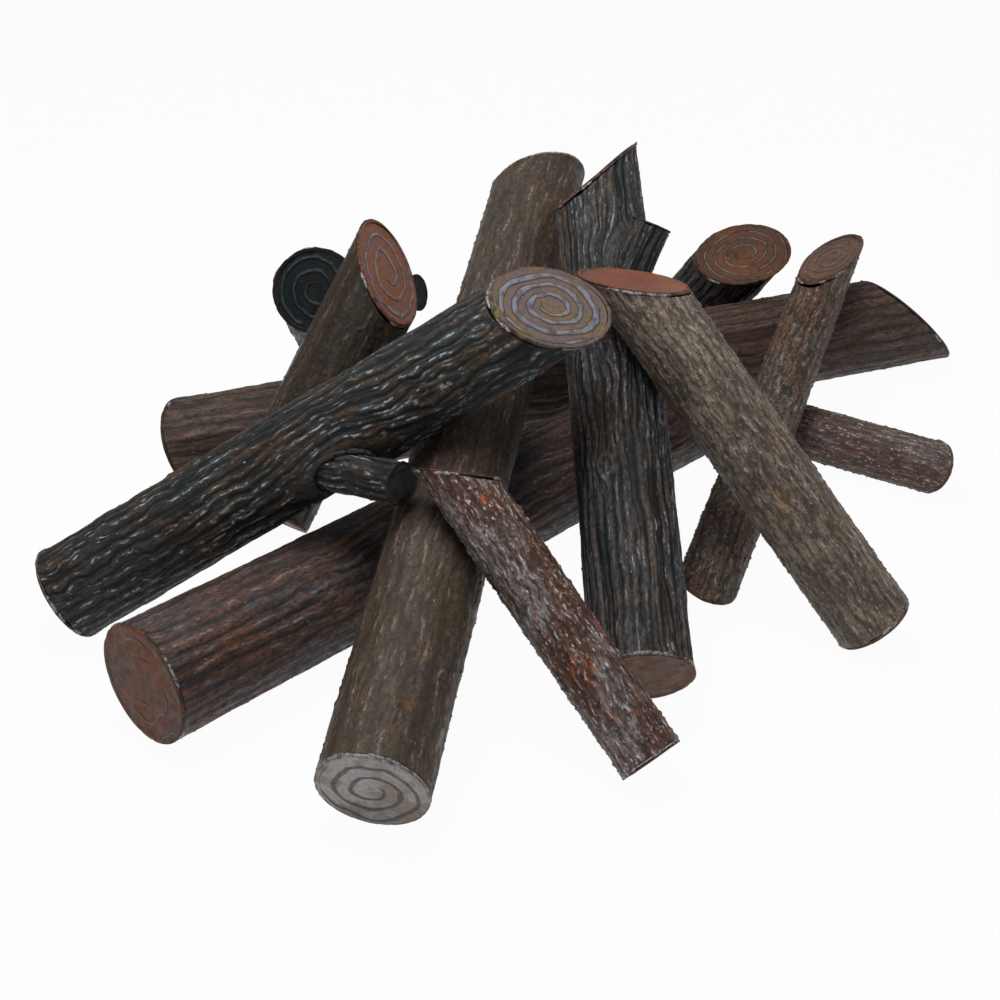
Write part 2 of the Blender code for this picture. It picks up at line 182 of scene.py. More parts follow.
SETTINGS = {
    "ridge_spacing": (length, "Ridge spacing", "From one ridge to the next, round the log"),
    "ridge_depth": (length, "Ridge depth", "From a ridge's crest to its groove"),
    # The groove share sets the painted shade in the grooves, and how dark the streaks are.
    "groove_share": (share, "Groove share", "How dark the grooves are"),
    "sway": (length, "Sway", "How far a ridge wanders to the side"),
    "sway_length": (length, "Sway length", "Length of half a wave of a ridge"),
    "dash_length": (length, "Dash length", "Length of a ridge before it fades"),
    "stroke_length": (length, "Stroke length", "Length of a rubbed stroke on a crest"),
    "roughness_depth": (length, "Roughness depth", "Height of the small lumps"),
    "nubs_a_metre": (count, "Nubs", "Weld spatter nubs for each metre of log"),
    "nub_height": (length, "Nub height", "How far a nub stands up"),
    # Bright specks are painted glints on the spatter, over small raised bumps.
    "speck_spacing": (length, "Speck spacing", "From one bright speck of spatter to the next"),
    # The groove colour is laid as painted shade in the grooves, and as dark paint in the streaks, mottle and
    # plates.
    "groove": (paint_colour, "Groove", "Paint in the grooves"),
    "body": (paint_colour, "Body", "Main bark paint"),
    "patch": (paint_colour, "Patch", "Second colour, in soft patches"),
    "tint": (paint_colour, "Tint", "Small warm touches"),
    "tint_share": (share, "Tint share", "How strongly the warm touches show"),
    # The crest colour and its share paint the pale crests and specks: partly rubbed paint, partly painted
    # glints.
    "crest": (paint_colour, "Crest", "Rubbed crests and spatter"),
    "crest_share": (share, "Crest share", "How much of the crests is rubbed pale"),
    "plate": (paint_colour, "Plate", "End plate paint"),
    "plate_patch": (paint_colour, "Plate patch", "Second end plate colour"),
    "ring": (paint_colour, "Ring", "Raised spiral on the end plates"),
    "ring_turns": (count, "Ring turns", "Turns of the spiral"),
    "ring_share": (share, "Ring share", "How much of the spiral shows"),
    "ring_width": (length, "Ring width", "Width of the spiral bead"),
}


def settings_of(**defaults):
    """Settings of a look, each with the default given here."""
    made = {}
    for key, default in defaults.items():
        kind, name, description = SETTINGS[key]
        made[key] = kind(name, default, description)
    return made


class RidgedBark:
    """Sizes of a bark of long, wavy weld ridges."""
    __annotations__ = settings_of(
        ridge_spacing=0.0185, ridge_depth=0.0046, groove_share=0.95, sway=0.0085, sway_length=0.026,
        dash_length=0.060, stroke_length=0.013, roughness_depth=0.0009, nubs_a_metre=260.0,
        nub_height=0.0014, speck_spacing=0.016)


class GrainedBark:
    """Sizes of a bark of broad low grain."""
    __annotations__ = settings_of(
        ridge_spacing=0.021, ridge_depth=0.0032, groove_share=0.72, sway=0.0080, sway_length=0.040,
        dash_length=0.090, stroke_length=0.016, roughness_depth=0.0009, nubs_a_metre=600.0,
        nub_height=0.0014, speck_spacing=0.018)


class SmoothBark:
    """Sizes of a nearly smooth bark with spatter nubs."""
    __annotations__ = settings_of(
        ridge_spacing=0.028, ridge_depth=0.0010, groove_share=0.50, sway=0.0090, sway_length=0.050,
        dash_length=0.080, stroke_length=0.030, roughness_depth=0.0009, nubs_a_metre=1100.0,
        nub_height=0.0019, speck_spacing=0.012)


class SpatteredBark:
    """Sizes of a rough bark covered in spatter."""
    __annotations__ = settings_of(
        ridge_spacing=0.015, ridge_depth=0.0011, groove_share=0.60, sway=0.0080, sway_length=0.022,
        dash_length=0.022, stroke_length=0.007, roughness_depth=0.0014, nubs_a_metre=2400.0,
        nub_height=0.0019, speck_spacing=0.0075)


class CrossLogLook(RidgedBark, bpy.types.PropertyGroup):
    """Near-black log with pale blue ridge crests."""
    __annotations__ = settings_of(
        groove="10171B", body="3C3C3A", patch="523F2C", tint="66441E", tint_share=0.65, crest="A8B8C4",
        crest_share=0.95, plate="746460", plate_patch="80694A", ring="8A8C98", ring_turns=4.2,
        ring_share=1.00, ring_width=0.0062)


class UprightLogLook(RidgedBark, bpy.types.PropertyGroup):
    """Dark mauve-brown log with pale crests and a stub."""
    __annotations__ = settings_of(
        ridge_spacing=0.0150, sway=0.0065, sway_length=0.040, dash_length=0.140, stroke_length=0.024,
        groove="0C0F11", body="444644", patch="56483F", tint="72462C", tint_share=0.35, crest="9CA6BA",
        crest_share=0.75, plate="70503F", plate_patch="7A5743", ring="7C7470", ring_turns=3.0,
        ring_share=0.00, ring_width=0.0030)


class RearLeftLogLook(RidgedBark, bpy.types.PropertyGroup):
    """Teal-black log behind the left log, with a glossy stub."""
    __annotations__ = settings_of(
        groove="03070A", body="0C1519", patch="1C1B18", tint="241C16", tint_share=0.25, crest="4E5C64",
        crest_share=0.45, plate="02080C", plate_patch="1A1614", ring="2C4048", ring_turns=3.4,
        ring_share=1.00, ring_width=0.0036)


class RearRightLogLook(RidgedBark, bpy.types.PropertyGroup):
    """Short dark red-brown log behind the pile."""
    __annotations__ = settings_of(
        groove="080606", body="1C1613", patch="2C1F16", tint="4A2E1C", tint_share=0.35, crest="5C5854",
        crest_share=0.40, plate="5C4034", plate_patch="74482C", ring="7C6E60", ring_turns=4.6,
        ring_share=0.90, ring_width=0.0030)


class BackLogLook(GrainedBark, bpy.types.PropertyGroup):
    """Long red-brown log across the back."""
    __annotations__ = settings_of(
        groove="2A211D", body="5C4D45", patch="60493C", tint="7C4420", tint_share=0.45, crest="8E847E",
        crest_share=0.40, plate="4A3830", plate_patch="5C4436", ring="7C726A", ring_turns=4.0,
        ring_share=0.80, ring_width=0.0034)


class BaseLogLook(GrainedBark, bpy.types.PropertyGroup):
    """Large red-brown log on the ground, with dark blue-green grooves."""
    __annotations__ = settings_of(
        groove="1C2224", body="5C4D49", patch="684838", tint="964C18", tint_share=0.65, crest="9894A0",
        crest_share=0.55, plate="62473A", plate_patch="74432A", ring="7E7068", ring_turns=3.2,
        ring_share=0.38, ring_width=0.0032)


class CentreLogLook(SmoothBark, bpy.types.PropertyGroup):
    """Tall olive-brown log with spatter nubs."""
    __annotations__ = settings_of(
        groove="302820", body="564A3B", patch="54463E", tint="78552D", tint_share=0.60, crest="AC9C94",
        crest_share=0.55, plate="BAB4B2", plate_patch="A09488", ring="565C66", ring_turns=3.6,
        ring_share=1.00, ring_width=0.0038)


class LeftLogLook(SmoothBark, bpy.types.PropertyGroup):
    """Dark khaki log with an orange face."""
    __annotations__ = settings_of(
        groove="18120D", body="2E251D", patch="40301F", tint="5C3E20", tint_share=0.50, crest="7C7268",
        crest_share=0.40, plate="84594C", plate_patch="8E5836", ring="8A8892", ring_turns=3.4,
        ring_share=0.80, ring_width=0.0040)


class FrontStickLook(SpatteredBark, bpy.types.PropertyGroup):
    """Slim red-brown and grey-mauve stick in front."""
    __annotations__ = settings_of(
        groove="241A16", body="8E827E", patch="6C4A3C", tint="D46A1A", tint_share=1.0, crest="DCD8DE",
        crest_share=0.90, plate="5F4A40", plate_patch="74503A", ring="80787A", ring_turns=3.0,
        ring_share=0.80, ring_width=0.0028)


class RightStickLook(SpatteredBark, bpy.types.PropertyGroup):
    """Slim khaki and red-brown stick."""
    __annotations__ = settings_of(
        groove="1E1814", body="6C5E52", patch="705442", tint="88522A", tint_share=0.60, crest="B4AEA8",
        crest_share=0.70, plate="6A4A3E", plate_patch="74503E", ring="7E726C", ring_turns=4.0,
        ring_share=0.90, ring_width=0.0026)


class RightLogLook(SpatteredBark, bpy.types.PropertyGroup):
    """Khaki log with a terracotta face."""
    __annotations__ = settings_of(
        groove="37302A", body="918272", patch="76685C", tint="A07638", tint_share=0.60, crest="C4C0BA",
        crest_share=0.65, plate="7C4E40", plate_patch="8A5038", ring="8E7468", ring_turns=3.0,
        ring_share=0.00, ring_width=0.0028)


class LowStickLook(SpatteredBark, bpy.types.PropertyGroup):
    """Slim mauve-brown stick on the ground at the right."""
    __annotations__ = settings_of(
        groove="3A302C", body="766862", patch="705245", tint="A4561F", tint_share=0.60, crest="D0CED2",
        crest_share=0.85, plate="74503E", plate_patch="84543A", ring="847A74", ring_turns=3.0,
        ring_share=0.60, ring_width=0.0028)


class StageLook(bpy.types.PropertyGroup):
    """Floor, light and camera."""
    floor: paint_colour("Floor", "DDDDDD", "Pale studio floor")
    floor_size: length("Floor size", 100.0, "Side of the floor")
    lamp_power: FloatProperty(
        name="Lamp power", description="Power of the overhead soft light", subtype="POWER", unit="POWER",
        default=46.0)
    fill: count("Fill", 0.34, "Strength of the light from all round")
    whiteness: share("Whiteness", 0.96, "How far the floor is plain white to the camera, over its shadows")


RIDGED_LOGS = {
    "cross_log": CrossLogLook,
    "upright_log": UprightLogLook,
    "rear_left_log": RearLeftLogLook,
    "rear_right_log": RearRightLogLook,
}
GRAINED_LOGS = {"back_log": BackLogLook, "base_log": BaseLogLook}
SMOOTH_LOGS = {"centre_log": CentreLogLook, "left_log": LeftLogLook}
SPATTERED_LOGS = {
    "front_stick": FrontStickLook,
    "right_stick": RightStickLook,
    "right_log": RightLogLook,
    "low_stick": LowStickLook,
}
LOOKS = {**RIDGED_LOGS, **GRAINED_LOGS, **SMOOTH_LOGS, **SPATTERED_LOGS, "stage": StageLook}
SEEDS = {name: 3.7 * i for i, name in enumerate(LOOKS)}


def unit(vector):
    return vector / np.linalg.norm(vector)


def corners_of(node):
    """A CAD node's corners in the row frame."""
    mesh = frame["nodes"][node].data
    corners = np.zeros(3 * len(mesh.vertices), np.float32)
    mesh.vertices.foreach_get("co", corners)
    return corners.reshape(-1, 3).astype(float)


class Place:
    """Where a round piece stands: its foot, its own three directions and its radius."""

    def __init__(self, foot, along, radius):
        self.foot = foot
        self.along = along
        self.side = unit(np.cross(along, UPWARD))
        self.up = np.cross(self.side, along)
        self.radius = radius

    def matrix(self):
        """Local X points up, Y to the right and Z along the log."""
        rows = np.column_stack((self.up, self.side, self.along, self.foot))
        return Matrix([*rows.tolist(), (0.0, 0.0, 0.0, 1.0)])

    def local(self, points):
        return (points - self.foot) @ np.column_stack((self.up, self.side, self.along))


def disc_facts(node):
    """Middle, axis, radius and thickness of a plate that is square to its log."""
    corners = corners_of(node)
    middle = (corners.min(axis=0) + corners.max(axis=0)) / 2.0
    for _ in range(3):
        axis = np.linalg.svd(corners - middle)[2][2]
        heights = (corners - middle) @ axis
        middle = middle + axis * (heights.max() + heights.min()) / 2.0
        spokes = (corners - middle) - np.outer((corners - middle) @ axis, axis)
        rim = spokes[np.linalg.norm(spokes, axis=1) > 0.9 * np.linalg.norm(spokes, axis=1).max()]
        middle = middle + (rim.max(axis=0) + rim.min(axis=0)) / 2.0
    spokes = (corners - middle) - np.outer((corners - middle) @ axis, axis)
    heights = (corners - middle) @ axis
    return middle, axis, np.linalg.norm(spokes, axis=1).max(), heights.max() - heights.min()


def log_place(log):
    """A log's place, from its bark's round, with its foot where the foot plate's outer face cuts its axis."""
    mesh = frame["nodes"][log + "_bark"].data
    normals = np.zeros(3 * len(mesh.polygons), np.float32)
    areas = np.zeros(len(mesh.polygons), np.float32)
    mesh.polygons.foreach_get("normal", normals)
    mesh.polygons.foreach_get("area", areas)
    normals = normals.reshape(-1, 3).astype(float)
    flanks = areas > 0.0
    for _ in range(2):
        spread = (normals[flanks] * areas[flanks, None]).T @ normals[flanks]
        axis = np.linalg.eigh(spread)[1][:, 0]
        flanks = np.abs(normals @ axis) < 0.05
    foot = corners_of(log + "_foot_plate").mean(axis=0)
    if (corners_of(log + "_top_plate").mean(axis=0) - foot) @ axis < 0.0:
        axis = -axis
    place = Place(foot, axis, 0.0)
    across = place.local(corners_of(log + "_bark"))[:, :2]
    middle = (across.max(axis=0) + across.min(axis=0)) / 2.0
    place.radius = np.linalg.norm(across - middle, axis=1).max()
    place.foot = foot + place.up * middle[0] + place.side * middle[1]
    place.foot = place.foot + axis * cut_plane(place, log + "_foot_plate", -1.0)[0][0]
    return place


def cut_plane(place, node, outward):
    """A plate's outer face: its station on the axis and its climb upward and to the right. Also its depth."""
    points = place.local(corners_of(node))
    table = np.column_stack((np.ones(len(points)), points[:, 0], points[:, 1]))
    fit = np.linalg.lstsq(table, points[:, 2], rcond=None)[0]
    outer = outward * (points[:, 2] - table @ fit) > 0.0
    plane = np.linalg.lstsq(table[outer], points[outer, 2], rcond=None)[0]
    return plane, np.abs(points[:, 2] - table @ plane).max()


def cloud(x, y, z):
    """Soft random heights from 0 to 1, one grain to a unit."""
    cells, eases = [], []
    for value in (x, y, z):
        cell = np.floor(value)
        part = value - cell
        cells.append(cell.astype(np.int64))
        eases.append(part * part * (3.0 - 2.0 * part))
    total = 0.0
    for corner in range(8):
        picks = [(corner >> i) & 1 for i in range(3)]
        weight = 1.0
        for pick, ease in zip(picks, eases):
            weight = weight * (ease if pick else 1.0 - ease)
        index = [(cell + pick) % GRAINS.shape[0] for cell, pick in zip(cells, picks)]
        total = total + weight * GRAINS[index[0], index[1], index[2]]
    return total


def layered_cloud(x, y, z, layers=3):
    """Clouds of finer and finer grain on top of each other, from 0 to 1."""
    total, weight, most = 0.0, 1.0, 0.0
    for layer in range(layers):
        total = total + weight * cloud(x + 9.1 * layer, y - 4.3 * layer, z + 2.7 * layer)
        most += weight
        x, y, z, weight = 2.03 * x, 2.03 * y, 2.03 * z, 0.5 * weight
    return total / most


def rise(value, low, high):
    """0 below low, 1 above high, smooth between."""
    part = np.clip((value - low) / (high - low), 0.0, 1.0)
    return part * part * (3.0 - 2.0 * part)


def round_profile(part):
    """Height of a weld bead across its width, part running from 0 to 1."""
    return np.sqrt(np.clip(1.0 - (2.0 * part - 1.0) ** 2, 0.0, 1.0))


def flow_round(knots, angle, station, radius):
    """Bend the grain round each knot, and say how near to a knot's rim each point lies."""
    turn = angle.copy()
    rim = np.zeros_like(angle)
    for knot_angle, knot_station, knot_radius in knots:
        across = radius * ((angle - knot_angle + math.pi) % WHOLE_TURN - math.pi)
        lengthwise = (station - knot_station) / 1.5
        reach = np.maximum(across ** 2 + lengthwise ** 2, (0.6 * knot_radius) ** 2)
        turn = turn - across * knot_radius ** 2 / reach / radius * np.exp(-reach / (4.0 * knot_radius) ** 2)
        ring = (np.sqrt(reach) - knot_radius) / (0.28 * knot_radius)
        rim = np.maximum(rim, np.exp(-ring ** 2))
    return turn, rim


def bark_relief(angle, station, radius, look, seed, knots):
    """Depth below the outer round, and shares of crest and of pale rubbing with painted glints, at each point
    of a bark.
    """
    x = radius * np.cos(angle)
    y = radius * np.sin(angle)
    turn, knot_rim = flow_round(knots, angle, station, radius)
    ridges = max(6, round(WHOLE_TURN * radius / look.ridge_spacing))
    slow = layered_cloud(x / SLOW_SWAY_WIDTH + seed, y / SLOW_SWAY_WIDTH, station / SLOW_SWAY_LENGTH, 2) - 0.5
    quick = layered_cloud(x / QUICK_SWAY_WIDTH, y / QUICK_SWAY_WIDTH + seed, station / look.sway_length, 2)
    sway = (2.2 * slow + 1.7 * (quick - 0.5)) * look.sway / radius
    row = (turn + sway) / WHOLE_TURN * ridges
    number = np.floor(row) % ridges
    part = row - np.floor(row)
    fade = cloud(7.3 * number + seed, 3.1 * number, station / look.dash_length + 5.7 * number)
    strength = 0.25 + 0.75 * rise(fade, 0.25, 0.60)
    broad = round_profile(0.5 + (part - 0.5) / BEAD_SHARE) * strength
    fine_row = (turn + 1.3 * sway) / WHOLE_TURN * ridges * 2.0 + 0.37
    fine_number = np.floor(fine_row) % (2 * ridges)
    fine_part = fine_row - np.floor(fine_row)
    fine_fade = cloud(5.1 * fine_number, seed + fine_number, station / (0.6 * look.dash_length) + fine_number)
    fine = round_profile(0.5 + (fine_part - 0.5) / BEAD_SHARE) * (0.3 + 0.7 * rise(fine_fade, 0.3, 0.7))
    ripples = cloud(2.3 * number + seed, 4.1 * number, station / RIPPLE_LENGTH)
    height = BROAD_BEAD_SHARE * broad * (0.86 + 0.14 * ripples) + FINE_BEAD_SHARE * fine
    height = height * (1.0 - 0.6 * knot_rim) + 0.9 * knot_rim
    lumps = layered_cloud(x / LUMP_WIDTH + seed, y / LUMP_WIDTH, station / LUMP_LENGTH, 3)
    swell = layered_cloud(x / SWELL_WIDTH, y / SWELL_WIDTH, station / SWELL_LENGTH + seed, 2)
    depth = look.ridge_depth * (1.0 - height)
    depth = depth + look.roughness_depth * 2.0 * (1.0 - lumps) + SWELL_DEPTH * (1.0 - swell)
    # Pale lines and strokes on the crests: partly rubbed paint, partly painted glints.
    line = (1.0 - rise(np.abs(part - CREST_LINE), 0.03, 0.11)) * rise(strength, 0.45, 0.75)
    fine_line = 0.8 * (1.0 - rise(np.abs(fine_part - CREST_LINE), 0.06, 0.20)) * rise(fine_fade, 0.50, 0.62)
    strokes = cloud(3.3 * number + seed, 1.9 * number, station / look.stroke_length)
    fine_strokes = cloud(2.7 * fine_number, seed + 1.7 * fine_number, 1.3 * station / look.stroke_length)
    rub_and_glint = np.maximum(line * rise(strokes, 0.42, 0.62), fine_line * rise(fine_strokes, 0.46, 0.66))
    return depth, np.clip(height, 0.0, 1.0), rub_and_glint * rise(lumps, 0.30, 0.50)


def scatter_nubs(depth, rub_and_glint, angle, station, radius, total, height, draw):
    """Raise round spatter nubs from the bark."""
    rows, columns = depth.shape
    for _ in range(total):
        row, column = draw.integers(3, rows - 3), draw.integers(0, columns)
        size = draw.uniform(*NUB_RADII)
        tall = height * draw.uniform(0.5, 1.0)
        row_step = abs(station[min(row + 1, rows - 1), column] - station[row, column])
        reach_rows = int(2.0 * size / max(row_step, 1e-4)) + 1
        reach_columns = int(2.0 * size / (WHOLE_TURN * radius / columns)) + 1
        picked = np.arange(max(row - reach_rows, 0), min(row + reach_rows + 1, rows))[:, None]
        across = np.arange(column - reach_columns, column + reach_columns + 1)[None, :] % columns
        gap = radius * ((angle[picked, across] - angle[row, column] + math.pi) % WHOLE_TURN - math.pi)
        away = (gap ** 2 + (station[picked, across] - station[row, column]) ** 2) / size ** 2
        bump = np.exp(-away)
        depth[picked, across] -= tall * bump
        # The nub's top is marked pale: partly bare spatter, partly a painted glint.
        rub_and_glint[picked, across] = np.maximum(rub_and_glint[picked, across], 0.45 * rise(bump, 0.55, 0.95))


def build_mesh(name, skins):
    """One mesh from closed skins. Each skin is a grid of rows of points, and says if its rows form a ring."""
    attributes = [key for key in ("crest", "rub_and_glint", "ring_line", "edge") if key in skins[0]]
    points, quads, ends, smooth = [], [], [], []
    values = {key: [] for key in attributes}
    start = 0
    for skin in skins:
        grid = skin["rows"]
        rows, columns = grid.shape[:2]
        index = start + np.arange(rows * columns).reshape(rows, columns)
        lower = index if skin["ring"] else index[:-1]
        upper = np.roll(index, -1, axis=0) if skin["ring"] else index[1:]
        faces = np.stack((lower, np.roll(lower, -1, 1), np.roll(upper, -1, 1), upper), axis=-1)
        quads.append(faces.reshape(-1, 4))
        flat_from = skin.get("flat_from", rows)
        smooth.append(np.repeat(np.arange(len(lower)) < flat_from, columns))
        if not skin["ring"]:
            ends.extend((index[0][::-1], index[-1]))
        points.append(grid.reshape(-1, 3))
        for key in attributes:
            values[key].append(skin[key].reshape(-1))
        start += rows * columns
    quads = np.concatenate(quads)
    loops = np.concatenate([quads.reshape(-1), *ends])
    starts = 4 * np.arange(len(quads))
    sizes = np.array([len(end) for end in ends], int)
    starts = np.concatenate([starts, quads.size + np.cumsum(sizes) - sizes])
    mesh = bpy.data.meshes.new(name)
    mesh.vertices.add(start)
    mesh.vertices.foreach_set("co", np.concatenate(points).astype(np.float32).reshape(-1))
    mesh.loops.add(len(loops))
    mesh.loops.foreach_set("vertex_index", loops.astype(np.int32))
    mesh.polygons.add(len(starts))
    mesh.polygons.foreach_set("loop_start", starts.astype(np.int32))
    mesh.polygons.foreach_set("use_smooth", np.concatenate([*smooth, np.ones(len(ends), bool)]))
    for key in attributes:
        layer = mesh.attributes.new(key, "FLOAT", "POINT")
        layer.data.foreach_set("value", np.concatenate(values[key]).astype(np.float32))
    mesh.update(calc_edges=True)
    mesh.validate()
    return mesh


def add_piece(log, part, skins, matrix, material, node=None):
    """Add a part of a log that rides on its body, its place in its mesh, for the CAD node it replaces."""
    name = f"{log}_{part}"
    mesh = build_mesh(name, skins)
    mesh.transform(matrix)
    mesh.materials.append(material)
    piece = bpy.data.objects.new(name, mesh)
    bpy.context.scene.collection.objects.link(piece)
    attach(piece, log if log in frame["bodies"] else "root")
    if node:
        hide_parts(f"{log}_{node}")


def round_points(radius, angle, station):
    return np.stack((radius * np.cos(angle), radius * np.sin(angle), station), axis=-1)


def bark_skin(radius, low, high, look, seed, knots=(), quads=QUADS_IN_A_BARK):
    """Skin of a hollow bark between two end lines, which are stations by angle."""
    turn = np.linspace(0.0, WHOLE_TURN, 721)
    mean_length = float(np.mean(high(turn) - low(turn)))
    width = max(math.sqrt(mean_length * WHOLE_TURN * radius / quads / LENGTH_TO_WIDTH_OF_A_QUAD), FINEST_QUAD)
    columns = int(WHOLE_TURN * radius / width)
    rows = max(8, int(mean_length / width / LENGTH_TO_WIDTH_OF_A_QUAD))
    seam = np.array(SEAM_ROWS) / mean_length
    between = np.linspace(2.0 * seam[-1], 1.0 - 2.0 * seam[-1], rows)
    share_of_length = np.concatenate((seam, between, 1.0 - seam[::-1]))
    angle, part = np.meshgrid(np.arange(columns) * WHOLE_TURN / columns, share_of_length)
    station = low(angle) + part * (high(angle) - low(angle))
    depth, crest, rub_and_glint = bark_relief(angle, station, radius, look, seed, knots)
    draw = np.random.default_rng(int(100 * seed) + 5)
    total = int(look.nubs_a_metre * mean_length)
    scatter_nubs(depth, rub_and_glint, angle, station, radius, total, look.nub_height, draw)
    end = np.minimum(part, 1.0 - part) * mean_length
    meet = 1.0 - rise(end, 0.0, END_BLEND)
    depth = np.maximum(depth, 0.0) * (1.0 - 0.6 * meet) + END_DEPTH * meet
    seam_wave = cloud(2.2 * np.cos(angle) + seed, 2.2 * np.sin(angle), seed + 3.0 * np.sign(part - 0.5))
    seam_wave = rise(seam_wave, 0.45, 0.75)
    depth = depth + (1.0 - rise(end, 0.0, SEAM_WIDTH)) * SEAM_DEPTH * seam_wave
    # Painted shade: the crest share is lowered at the seam, so the groove colour darkens the paint along the
    # seam's recess.
    crest = crest * (1.0 - 0.9 * seam_wave * (1.0 - rise(end, 0.0, 1.4 * SEAM_WIDTH)))
    rub_and_glint = rub_and_glint * rise(end, 0.0, 2.0 * SEAM_WIDTH)
    outer = round_points(radius - depth, angle, station)
    bore = round_points(radius - WALL_DEPTH, angle[[-1, 0]], station[[-1, 0]])
    blank = np.zeros((2, columns))
    return {
        "rows": np.concatenate((outer, bore)),
        "ring": True,
        "flat_from": len(outer) - 1,
        "crest": np.concatenate((crest, blank)),
        "rub_and_glint": np.concatenate((rub_and_glint, blank)),
    }


def plate_skin(radius, plane, thick, look, seed, faces_up, shown):
    """Skin of an end plate with a raised spiral. Its plane is its outer face's station and slopes."""
    columns = max(96, int(WHOLE_TURN * radius / PLATE_QUAD_WIDTH))
    rings = max(20, int(radius / PLATE_RING_STEP))
    angle_row = np.arange(columns) * WHOLE_TURN / columns
    spread = np.concatenate((np.linspace(0.01, 0.985, rings), PLATE_EDGE_SHARES))
    angle, part = np.meshgrid(angle_row, spread)
    slant = math.sqrt(1.0 + plane[1] ** 2 + plane[2] ** 2)
    sink = np.zeros_like(part)
    across, upright = part * np.sin(angle), part * np.cos(angle)
    level = 0.0 * part
    wobble = layered_cloud(2.0 * upright + seed, 2.0 * across, level + seed, 3) - 0.5
    swing = cloud(1.3 * np.cos(angle) + 2.0 * seed, 1.3 * np.sin(angle), 1.5 * part) - 0.5
    break_up = cloud(1.7 * upright + seed, 1.7 * across - seed, level)
    turns = look.ring_turns
    row = part * turns * (1.0 + 0.16 * swing) + 0.80 * wobble - angle / WHOLE_TURN
    pitch = radius / turns
    off_line = np.abs(row - np.floor(row) - 0.5) * pitch
    swelling = cloud(6.0 * part + seed, 2.0 * angle / WHOLE_TURN * 9.0, level)
    half_width = 0.5 * look.ring_width * (0.75 + 0.6 * swelling)
    ring = 1.0 - rise(off_line, 0.40 * half_width, 1.9 * half_width)
    ring = ring * rise(part, 0.5 / turns, 0.9 / turns) * (1.0 - rise(part, 0.88, 0.94))
    ring = ring * rise(break_up, 0.8 - 0.8 * shown, 1.0 - 0.8 * shown)
    dents = layered_cloud(upright * radius / DENT_WIDTH, across * radius / DENT_WIDTH, level + seed, 3)
    sink[:rings] = PLATE_SINK - RING_HEIGHT * ring[:rings] + DENT_DEPTH * dents[:rings]
    sink[:rings] -= (RIM_HEIGHT * rise(part, 0.86, 0.95) * dents)[:rings]
    sink[rings] = PLATE_EDGE_SINKS[0]
    sink[rings + 1] = PLATE_EDGE_SINKS[1]
    sink[rings + 2] = 0.6 * thick
    sink[rings + 3:] = thick
    ring[rings:] = 0.0
    sink[:rings] *= slant
    wave = layered_cloud(2.6 * np.cos(angle_row) + seed, 2.6 * np.sin(angle_row), seed + 0.0 * angle_row, 4)
    notches = cloud(9.0 * np.cos(angle_row), 9.0 * np.sin(angle_row) + seed, 0.0 * angle_row)
    rim = 1.0 - (RIM_LOSS + RIM_WAVE * wave + NOTCH_DEPTH * rise(notches, 0.6, 0.9)) / radius
    reach = radius * part * np.where(part > 0.9, rim, 1.0 - (1.0 - rim) * part ** 6)
    x, y = reach * np.cos(angle), reach * np.sin(angle)
    face = plane[0] + plane[1] * x + plane[2] * y
    station = face - sink if faces_up else face + sink
    rows = np.stack((x, y, station), axis=-1)
    edge = rise(part, 0.93, 1.0)
    if not faces_up:
        rows, ring, edge = rows[::-1], ring[::-1], edge[::-1]
    return {"rows": rows[::-1], "ring": False, "ring_line": ring[::-1], "edge": edge[::-1]}


def weld_skin(path, normal, thickness, seed):
    """Skin of a lumpy weld bead that follows a path, with its rows round the path."""
    tangent = np.gradient(path, axis=0)
    tangent /= np.linalg.norm(tangent, axis=1, keepdims=True)
    out = normal - tangent * np.sum(normal * tangent, axis=1, keepdims=True)
    out /= np.linalg.norm(out, axis=1, keepdims=True)
    across = np.cross(tangent, out)
    turn = np.arange(WELD_SIDES) * WHOLE_TURN / WELD_SIDES
    steps = np.arange(len(path))
    lump = 0.65 + 0.6 * cloud(0.55 * steps, seed + 0.0 * steps, 0.0 * steps)
    taper = np.sqrt(np.clip(np.minimum(steps + 0.3, len(path) - steps - 0.7) / 3.0, 0.02, 1.0))
    size = thickness * np.minimum(lump, 1.0) * taper
    ring = out[:, None, :] * np.cos(turn)[None, :, None] + across[:, None, :] * np.sin(turn)[None, :, None]
    return {"rows": path[:, None, :] + size[:, None, None] * ring, "ring": False}


def tack_welds(radius, seam, draw, spots, seed):
    """Short weld beads that hold a plate to its bark, along the seam. Each spot is an angle and a length."""
    skins = []
    for number, (middle, reach) in enumerate(spots):
        steps = max(6, int(reach / WELD_STEP))
        angle = middle + np.linspace(-0.5, 0.5, steps) * reach / radius
        thickness = draw.uniform(*TACK_RADII)
        path = round_points(radius - thickness - SEAM_GAP + 0.0 * angle, angle, 0.0 * angle)
        path[:, 2] = seam[0] + seam[1] * path[:, 0] + seam[2] * path[:, 1]
        path[:, 2] += TACK_WANDER * (cloud(angle * 9.0, seed + number + 0.0 * angle, 0.0 * angle) - 0.5)
        normal = round_points(1.0 + 0.0 * angle, angle, 0.0 * angle)
        skins.append(weld_skin(path, normal, thickness, seed + number))
    return skins


